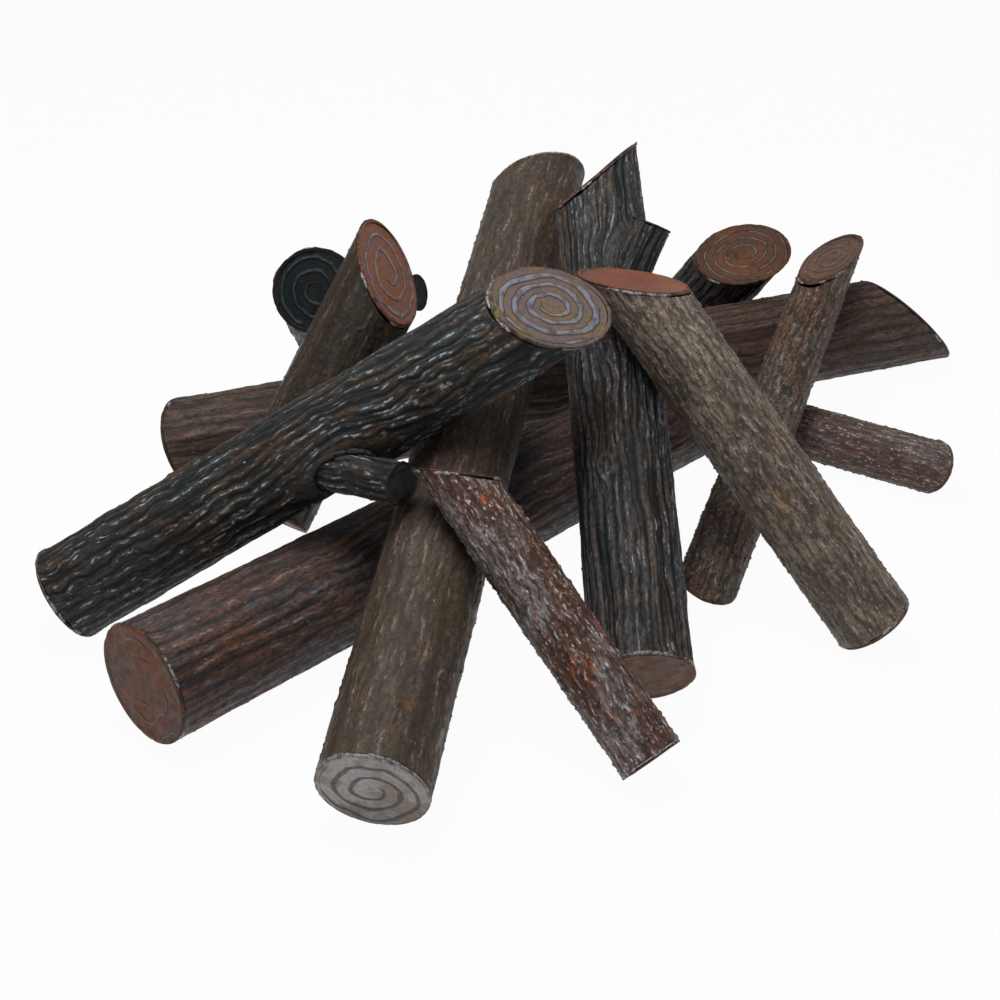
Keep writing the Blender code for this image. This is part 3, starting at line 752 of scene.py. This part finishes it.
# Steps of a material: the node, its settings, the sockets that it takes in order, and the one that it gives
STEPS = {
    "row_frame": ("ShaderNodeTexCoord", {}, (), "Object"),
    "placed": ("ShaderNodeMapping", {"vector_type": "TEXTURE"}, ("Vector", "Location", "Rotation"), "Vector"),
    "stretched": ("ShaderNodeMapping", {}, ("Vector", "Location", "Scale"), "Vector"),
    "noise": ("ShaderNodeTexNoise", {}, ("Vector", "Scale", "Detail", "Roughness"), "Fac"),
    "cells": ("ShaderNodeTexVoronoi", {}, ("Vector", "Scale"), "Distance"),
    "attribute": ("ShaderNodeAttribute", {}, (), "Fac"),
    "eased": (
        "ShaderNodeMapRange", {"interpolation_type": "SMOOTHSTEP"},
        ("Value", "From Min", "From Max", "To Min", "To Max"), "Result"),
    "times": ("ShaderNodeMath", {"operation": "MULTIPLY"}, (0, 1), 0),
    "larger": ("ShaderNodeMath", {"operation": "MAXIMUM"}, (0, 1), 0),
    "coat": ("ShaderNodeMix", {"data_type": "RGBA"}, (0, 6, 7), 2),
    "bump": ("ShaderNodeBump", {}, ("Height", "Strength", "Distance", "Normal"), "Normal"),
    "paint": (
        "ShaderNodeBsdfPrincipled", {}, ("Base Color", "Roughness", "Normal", "IOR", "Specular IOR Level"),
        "BSDF"),
    "metal": ("ShaderNodeBsdfPrincipled", {}, ("Base Color", "Metallic", "Roughness", "Normal"), "BSDF"),
    "matt": ("ShaderNodeBsdfDiffuse", {}, ("Color",), "BSDF"),
    "glow": ("ShaderNodeEmission", {}, ("Color", "Strength"), "Emission"),
    "ray": ("ShaderNodeLightPath", {}, (), "Is Camera Ray"),
    "blend": ("ShaderNodeMixShader", {}, (0, 1, 2), "Shader"),
    "surface": ("ShaderNodeOutputMaterial", {}, ("Surface",), None),
    "sky_light": ("ShaderNodeBackground", {}, ("Color", "Strength"), "Background"),
    "sky": ("ShaderNodeOutputWorld", {}, ("Surface",), None),
}


def add_node(tree, step, *inputs, gives=None, **settings):
    """Add the node of a step, set it up, fill or link its sockets, and hand over what it gives."""
    kind, fixed_settings, sockets, output = STEPS[step]
    node = tree.nodes.new(kind)
    for key, value in {**fixed_settings, **settings}.items():
        setattr(node, key, value)
    for socket, value in zip(sockets, inputs):
        if isinstance(value, bpy.types.NodeSocket):
            tree.links.new(value, node.inputs[socket])
        else:
            node.inputs[socket].default_value = value
    return node.outputs[gives or output] if len(node.outputs) else None


def new_material(name):
    """An empty material, and the function that adds a node to it."""
    material = bpy.data.materials.new(name)
    material.use_nodes = True
    material.node_tree.nodes.clear()
    return material, partial(add_node, material.node_tree)


def log_coordinates(node, stretch, seed, matrix):
    """Coordinates in the log's own directions, drawn out along it."""
    own = node("placed", node("row_frame"), tuple(matrix.translation), tuple(matrix.to_euler()))
    return node("stretched", own, (seed, 2.0 * seed, 0.3 * seed), (1.0, 1.0, 1.0 / stretch))


def field(node, place, facts, least=0.0, most=1.0):
    """Soft fields in the paint, whose share runs from least to most."""
    grain, detail, roughness, none, full = facts
    return node("eased", node("noise", place, 1.0 / grain, detail, roughness), none, full, least, most)


def relief(node, place, facts, strength, height):
    """A fine relief all over, as a normal."""
    grain, detail, roughness = facts
    return node("bump", node("noise", place, 1.0 / grain, detail, roughness), strength, height)


def lay_paints(node, ground, coats):
    """Lay coats of paint on a ground colour, each by its share."""
    colour = (*ground, 1.0)
    for cover, paint in coats:
        colour = node("coat", cover, colour, (*paint, 1.0))
    return colour


def bark_paint(name, look, seed, matrix):
    """Heat-proof paint, brushed on over weld beads.

    Satin, mottled in soft patches, darkened in the grooves by painted shade, and pale on the crests, partly
    rubbed paint and partly painted glints.
    """
    material, node = new_material(name)
    plain = log_coordinates(node, 1.0, seed, matrix)
    short = log_coordinates(node, 2.2, seed + 5.0, matrix)
    drawn = log_coordinates(node, 5.0, seed, matrix)
    patches = field(node, short, PATCHES)
    warm = field(node, short, TINTS, 0.0, look.tint_share)
    streaks = node("noise", drawn, 1.0 / STREAKS[0], *STREAKS[1:])
    dark_streaks = node("eased", streaks, 0.50, 0.38, 0.0, 0.75 * look.groove_share)
    mottle = field(node, short, MOTTLE, 0.0, 0.70)
    # Painted shade: the groove colour darkens the bark where the crest attribute is low, in the grooves'
    # hollows.
    crest = node("attribute", attribute_name="crest")
    grooves = node("eased", crest, 0.50, 0.14, 0.0, look.groove_share)
    # Pale strokes on the crests: partly rubbed paint, partly painted glints.
    rubbed = node("times", node("attribute", attribute_name="rub_and_glint"), field(node, short, TEARS))
    # Bright specks on the spatter: painted glints, also raised as small bumps.
    away = node("cells", short, 1.0 / look.speck_spacing)
    outside, inside = 1.3 * SPECK_RADIUS / look.speck_spacing, 0.7 * SPECK_RADIUS / look.speck_spacing
    dots = node("times", node("eased", away, outside, inside), field(node, short, SPECK_FIELDS, 0.10))
    # The crest colour goes on these pale marks as painted highlights, partly rubbed paint.
    pale = node("larger", rubbed, dots)
    colour = lay_paints(node, look.body, (
        (patches, look.patch), (warm, look.tint), (dark_streaks, look.groove), (mottle, look.groove),
        (grooves, look.groove), (node("times", pale, look.crest_share), look.crest)))
    rough = field(node, plain, SHEEN, 0.40, 0.68)
    rough = node("times", rough, node("eased", pale, 0.0, 0.8, 1.0, 0.55))
    bumps = relief(node, plain, GRIT, 0.80, look.roughness_depth)
    bumps = node("bump", dots, 0.8, SPECK_HEIGHT, bumps)
    bumps = node("bump", streaks, 0.7, STREAK_HEIGHT, bumps)
    node("surface", node("paint", colour, rough, bumps, PAINT_IOR, BARK_GLOSS))
    return material


def plate_paint(name, look, seed, matrix, first, second):
    """Heat-proof paint, brushed on flat steel plate.

    Satin and softly two-coloured, with the raised growth rings rubbed back and a worn, darker rim.
    """
    material, node = new_material(name)
    plain = log_coordinates(node, 1.0, seed, matrix)
    ring = node("attribute", attribute_name="ring_line")
    edge = node("attribute", attribute_name="edge")
    patches = field(node, plain, PLATE_PATCHES)
    shade = field(node, plain, PLATE_MOTTLE, 0.0, 0.28)
    warm = field(node, plain, PLATE_TINTS, 0.0, 0.3)
    outline = node("eased", ring, 0.02, 0.30, 0.0, 0.60)
    line = node("times", node("eased", ring, 0.45, 0.80), field(node, plain, BROKEN_RINGS, 0.20, 0.80))
    worn = node("times", edge, field(node, plain, WORN_RIM, 0.1, 0.8))
    colour = lay_paints(node, first, (
        (patches, second), (shade, look.groove), (warm, look.tint), (outline, look.groove),
        (line, look.ring), (worn, look.groove)))
    rough = field(node, plain, PLATE_SHEEN, 0.38, 0.62)
    bumps = relief(node, plain, GRIT, 0.45, PLATE_GRIT_HEIGHT)
    node("surface", node("paint", colour, rough, bumps, PAINT_IOR, PLATE_GLOSS))
    return material


def weld_steel():
    """Mild steel weld bead, wire-brushed and only thinly painted.

    Grey-white and lumpy, with brown paint left in soft patches.
    """
    material, node = new_material("wire_brushed_mild_steel_weld")
    plain = log_coordinates(node, 1.0, 0.0, Matrix())
    stain = field(node, plain, WELD_STAIN)
    colour = lay_paints(node, linear_colour("9A9897"), ((stain, linear_colour("3E3029")),))
    bumps = relief(node, plain, WELD_GRIT, 0.8, WELD_GRIT_HEIGHT)
    node("surface", node("metal", colour, 0.35, 0.42, bumps))
    return material


def stub_of(log, place):
    """Place of a log's sawn-off stub, its reach, its plate's thickness and where it crosses the log."""
    middle, axis, radius, thickness = disc_facts(log + "_stub_plate")
    if (middle - corners_of(log + "_stub_bark").mean(axis=0)) @ axis < 0.0:
        axis = -axis
    between = middle - place.foot
    lean = axis @ place.along
    back = (between @ axis - lean * (between @ place.along)) / (1.0 - lean * lean)
    root = middle - axis * back
    stub = Place(root, axis, radius)
    reach = back + thickness / 2.0
    crossing = (root - place.foot) @ place.along
    return stub, reach, thickness, crossing


def saddle_line(place, stub, stub_radius, log_radius):
    """Station on the stub where its round leaves the log's round, by angle."""
    flat_axis = stub.along - place.along * (stub.along @ place.along)
    to_root = stub.foot - place.foot
    flat_root = to_root - place.along * (to_root @ place.along)
    flat_up = stub.up - place.along * (stub.up @ place.along)
    flat_side = stub.side - place.along * (stub.side @ place.along)

    def station(angle):
        x, y = stub_radius * np.cos(angle), stub_radius * np.sin(angle)
        offset = flat_root + x[..., None] * flat_up + y[..., None] * flat_side
        square = flat_axis @ flat_axis
        half = offset @ flat_axis
        rest = np.sum(offset * offset, axis=-1) - log_radius ** 2
        return (-half + np.sqrt(np.maximum(half * half - square * rest, 0.0))) / square

    return station


def dress_stub(log, place, look, seed):
    """Build a branch stub: its bark, its sawn plate and the weld round its root."""
    stub, reach, thickness, crossing = stub_of(log, place)
    matrix = stub.matrix()
    bark = bark_paint(f"heat_proof_painted_stub_bead_{log}", look, seed, matrix)
    plate = plate_paint(f"heat_proof_painted_stub_plate_{log}", look, seed, matrix, look.groove, look.body)
    saddle = saddle_line(place, stub, stub.radius, place.radius - STUB_ROOT_SINK)
    end = reach - thickness - SEAM_GAP
    skin = bark_skin(
        stub.radius, saddle, lambda angle: end + 0.0 * angle, look, seed + 1.3, (), QUADS_IN_A_STUB)
    add_piece(log, "stub_weld_bark", [skin], matrix, bark, "stub_bark")
    skin = plate_skin(stub.radius, (reach, 0.0, 0.0), thickness, look, seed + 2.1, True, 0.0)
    add_piece(log, "stub_sawn_plate", [skin], matrix, plate, "stub_plate")
    angle = np.linspace(0.0, WHOLE_TURN, COLLAR_STEPS)
    root_line = saddle_line(place, stub, stub.radius, place.radius - COLLAR_SINK)
    path = round_points(stub.radius - COLLAR_INSET + 0.0 * angle, angle, root_line(angle))
    normal = round_points(1.0 + 0.0 * angle, angle, 0.0 * angle)
    collar = weld_skin(path, normal, COLLAR_RADIUS, seed + 4.0)
    collar["crest"] = np.full(collar["rows"].shape[:2], COLLAR_CREST)
    collar["rub_and_glint"] = 0.0 * collar["crest"]
    add_piece(log, "stub_root_weld", [collar], matrix, bark)
    return stub, crossing


def stub_knot(place, stub, crossing):
    """The knot that a stub makes in its log's grain."""
    lean = stub.along @ place.along
    angle = math.atan2(stub.along @ place.side, stub.along @ place.up)
    slide = place.radius * lean / math.sqrt(max(1.0 - lean * lean, 1e-6))
    return angle, crossing + slide, 1.15 * stub.radius


KNOTS = {
    "upright_log": ((0.9, 0.46, 0.016), (-0.5, 0.30, 0.012)),
    "cross_log": ((-0.4, 0.25, 0.014), (1.4, 0.62, 0.012)),
    "front_stick": ((0.7, 0.23, 0.013),),
    "base_log": ((0.8, 0.42, 0.016), (-0.9, 0.75, 0.014)),
    "back_log": ((0.9, 0.30, 0.015), (-0.8, 1.05, 0.016)),
    "rear_right_log": ((2.0, 0.12, 0.014),),
    "right_log": ((0.2, 0.35, 0.012),),
}


WELDS = {
    "upright_log": (("foot", 0.0, 0.075), ("foot", 1.0, 0.030)),
    "cross_log": (("top", 0.3, 0.040), ("foot", 1.2, 0.030)),
    "centre_log": (("foot", -0.7, 0.070), ("foot", 0.5, 0.020)),
    "front_stick": (("top", -0.9, 0.030), ("foot", 0.4, 0.020)),
    "right_log": (("top", -1.1, 0.060), ("foot", 0.2, 0.030)),
    "low_stick": (("foot", 0.0, 0.022),),
    "base_log": (("foot", 0.9, 0.050), ("foot", -0.6, 0.030)),
    "left_log": (("top", -1.3, 0.040),),
}


def sloped(plane, radius):
    """Line in which a slanted plane cuts a log's round, as stations by angle."""
    return lambda angle: plane[0] + radius * (plane[1] * np.cos(angle) + plane[2] * np.sin(angle))


def dress_log(log, look):
    """Build a log's bark, its two end plates, its tack welds and its stub, over the CAD solids."""
    seed = SEEDS[log]
    place = log_place(log)
    matrix = place.matrix()
    bark = bark_paint(f"heat_proof_painted_weld_bead_{log}", look, seed, matrix)
    plate = plate_paint(
        f"heat_proof_painted_steel_plate_{log}", look, seed, matrix, look.plate, look.plate_patch)
    weld = bpy.data.materials.get("wire_brushed_mild_steel_weld") or weld_steel()
    knots = list(KNOTS.get(log, ()))
    if log + "_stub_plate" in frame["nodes"]:
        stub, crossing = dress_stub(log, place, look, seed)
        knots.append(stub_knot(place, stub, crossing))
    draw = np.random.default_rng(int(10 * seed) + 77)
    lines, beads = [], []
    for end, outward in (("foot", -1.0), ("top", 1.0)):
        plane, thick = cut_plane(place, f"{log}_{end}_plate", outward)
        faces_up = end == "top"
        face_seed = seed + 5.5 * (not faces_up)
        skin = plate_skin(place.radius, plane, thick, look, face_seed, faces_up, look.ring_share)
        add_piece(log, f"ringed_{end}_plate", [skin], matrix, plate, f"{end}_plate")
        seam = (plane[0] - outward * thick, plane[1], plane[2])
        lines.append(sloped((seam[0] - outward * BARK_SHORT_OF_SEAM, plane[1], plane[2]), place.radius))
        spots = [(angle, span) for where, angle, span in WELDS.get(log, ()) if where == end]
        spots += [
            (draw.uniform(0.0, WHOLE_TURN), draw.uniform(*SMALL_TACK_LENGTHS)) for _ in range(SMALL_TACKS)]
        beads += tack_welds(place.radius, seam, draw, spots, seed + 9.0 * faces_up)
    skin = bark_skin(place.radius, lines[0], lines[1], look, seed, knots)
    add_piece(log, "weld_bark", [skin], matrix, bark, "bark")
    add_piece(log, "tack_welds", beads, matrix, weld)


def dress_kind(context, logs):
    """Dress each log of one kind of bark."""
    for log in logs:
        dress_log(log, getattr(context.scene, log + "_look"))
    return {"FINISHED"}


class GASLOGS_OT_ridged_logs(bpy.types.Operator):
    """Build the dark logs with long weld ridges, and their stubs"""
    bl_idname = "gas_logs.ridged_logs"
    bl_label = "Ridged Logs"

    def execute(self, context):
        return dress_kind(context, RIDGED_LOGS)


class GASLOGS_OT_grained_logs(bpy.types.Operator):
    """Build the two large logs with broad low grain"""
    bl_idname = "gas_logs.grained_logs"
    bl_label = "Grained Logs"

    def execute(self, context):
        return dress_kind(context, GRAINED_LOGS)


class GASLOGS_OT_smooth_logs(bpy.types.Operator):
    """Build the nearly smooth logs with spatter nubs"""
    bl_idname = "gas_logs.smooth_logs"
    bl_label = "Smooth Logs"

    def execute(self, context):
        return dress_kind(context, SMOOTH_LOGS)


class GASLOGS_OT_spattered_logs(bpy.types.Operator):
    """Build the slim logs with rough spattered bark"""
    bl_idname = "gas_logs.spattered_logs"
    bl_label = "Spattered Logs"

    def execute(self, context):
        return dress_kind(context, SPATTERED_LOGS)


class GASLOGS_OT_stage(bpy.types.Operator):
    """Set up the pale floor, the soft light and the camera"""
    bl_idname = "gas_logs.stage"
    bl_label = "Stage"

    def execute(self, context):
        look = context.scene.stage_look
        half = look.floor_size / 2.0
        mesh = bpy.data.meshes.new("studio_floor")
        corners = [(-half, -half, 0.0), (half, -half, 0.0), (half, half, 0.0), (-half, half, 0.0)]
        mesh.from_pydata(corners, [], [(0, 1, 2, 3)])
        material, node = new_material("matt_painted_studio_floor")
        seen = node("ray")
        for ray in ("Is Glossy Ray", "Is Transmission Ray"):
            seen = node("larger", seen, node("ray", gives=ray))
        matt, white = node("matt", (*look.floor, 1.0)), node("glow", WHITE, 1.0)
        node("surface", node("blend", node("times", seen, look.whiteness), matt, white))
        mesh.materials.append(material)
        floor = bpy.data.objects.new("studio_floor", mesh)
        context.scene.collection.objects.link(floor)

        world = bpy.data.worlds.new("studio_light")
        world.use_nodes = True
        world.node_tree.nodes.clear()
        add_node(world.node_tree, "sky", add_node(world.node_tree, "sky_light", WHITE, look.fill))
        context.scene.world = world

        lamp = bpy.data.lights.new("overhead_softbox", "AREA")
        lamp.shape = "RECTANGLE"
        lamp.size = LAMP_WIDTH
        lamp.size_y = LAMP_DEPTH
        lamp.energy = look.lamp_power
        softbox = bpy.data.objects.new("overhead_softbox", lamp)
        context.scene.collection.objects.link(softbox)
        softbox.matrix_world = aimed(LAMP_PLACE, LAMP_TARGET)

        lens = bpy.data.cameras.new("photo_camera")
        lens.sensor_width = SENSOR_WIDTH
        lens.lens = LENS_LENGTH
        camera = bpy.data.objects.new("photo_camera", lens)
        context.scene.collection.objects.link(camera)
        camera.matrix_world = aimed(CAMERA_PLACE, CAMERA_AIM)
        context.scene.camera = camera
        context.scene.view_settings.view_transform = "Standard"
        return {"FINISHED"}


def aimed(place, target):
    """Matrix of a camera or lamp at a place, looking at a target, its top upward."""
    back = unit(np.array(place) - np.array(target))
    right = unit(np.cross(UPWARD, back))
    top = np.cross(back, right)
    rows = np.column_stack((right, top, back, place))
    return Matrix([*rows.tolist(), (0.0, 0.0, 0.0, 1.0)])


class GASLOGS_PT_panel(bpy.types.Panel):
    """Shows the build buttons and the settings of each log's look and of the stage"""
    bl_label = "Gas Logs"
    bl_idname = "GASLOGS_PT_panel"
    bl_space_type = "VIEW_3D"
    bl_region_type = "UI"
    bl_category = "Gas Logs"

    def draw(self, context):
        for operator in OPERATORS:
            self.layout.operator(operator.bl_idname)
        for name in LOOKS:
            box = self.layout.box()
            box.label(text=name.replace("_", " "))
            look = getattr(context.scene, name + "_look")
            for key in look.bl_rna.properties.keys():
                if key not in ("rna_type", "name"):
                    box.prop(look, key)


OPERATORS = (
    GASLOGS_OT_ridged_logs,
    GASLOGS_OT_grained_logs,
    GASLOGS_OT_smooth_logs,
    GASLOGS_OT_spattered_logs,
    GASLOGS_OT_stage,
)


def register():
    for look in LOOKS.values():
        bpy.utils.register_class(look)
    for name, look in LOOKS.items():
        setattr(bpy.types.Scene, name + "_look", PointerProperty(type=look))
    for operator in OPERATORS:
        bpy.utils.register_class(operator)
    bpy.utils.register_class(GASLOGS_PT_panel)


def unregister():
    bpy.utils.unregister_class(GASLOGS_PT_panel)
    for operator in reversed(OPERATORS):
        bpy.utils.unregister_class(operator)
    for name, look in LOOKS.items():
        delattr(bpy.types.Scene, name + "_look")
        bpy.utils.unregister_class(look)


def main():
    register()
    bpy.ops.gas_logs.ridged_logs()
    bpy.ops.gas_logs.grained_logs()
    bpy.ops.gas_logs.smooth_logs()
    bpy.ops.gas_logs.spattered_logs()
    bpy.ops.gas_logs.stage()


if __name__ == "__main__":
    main()
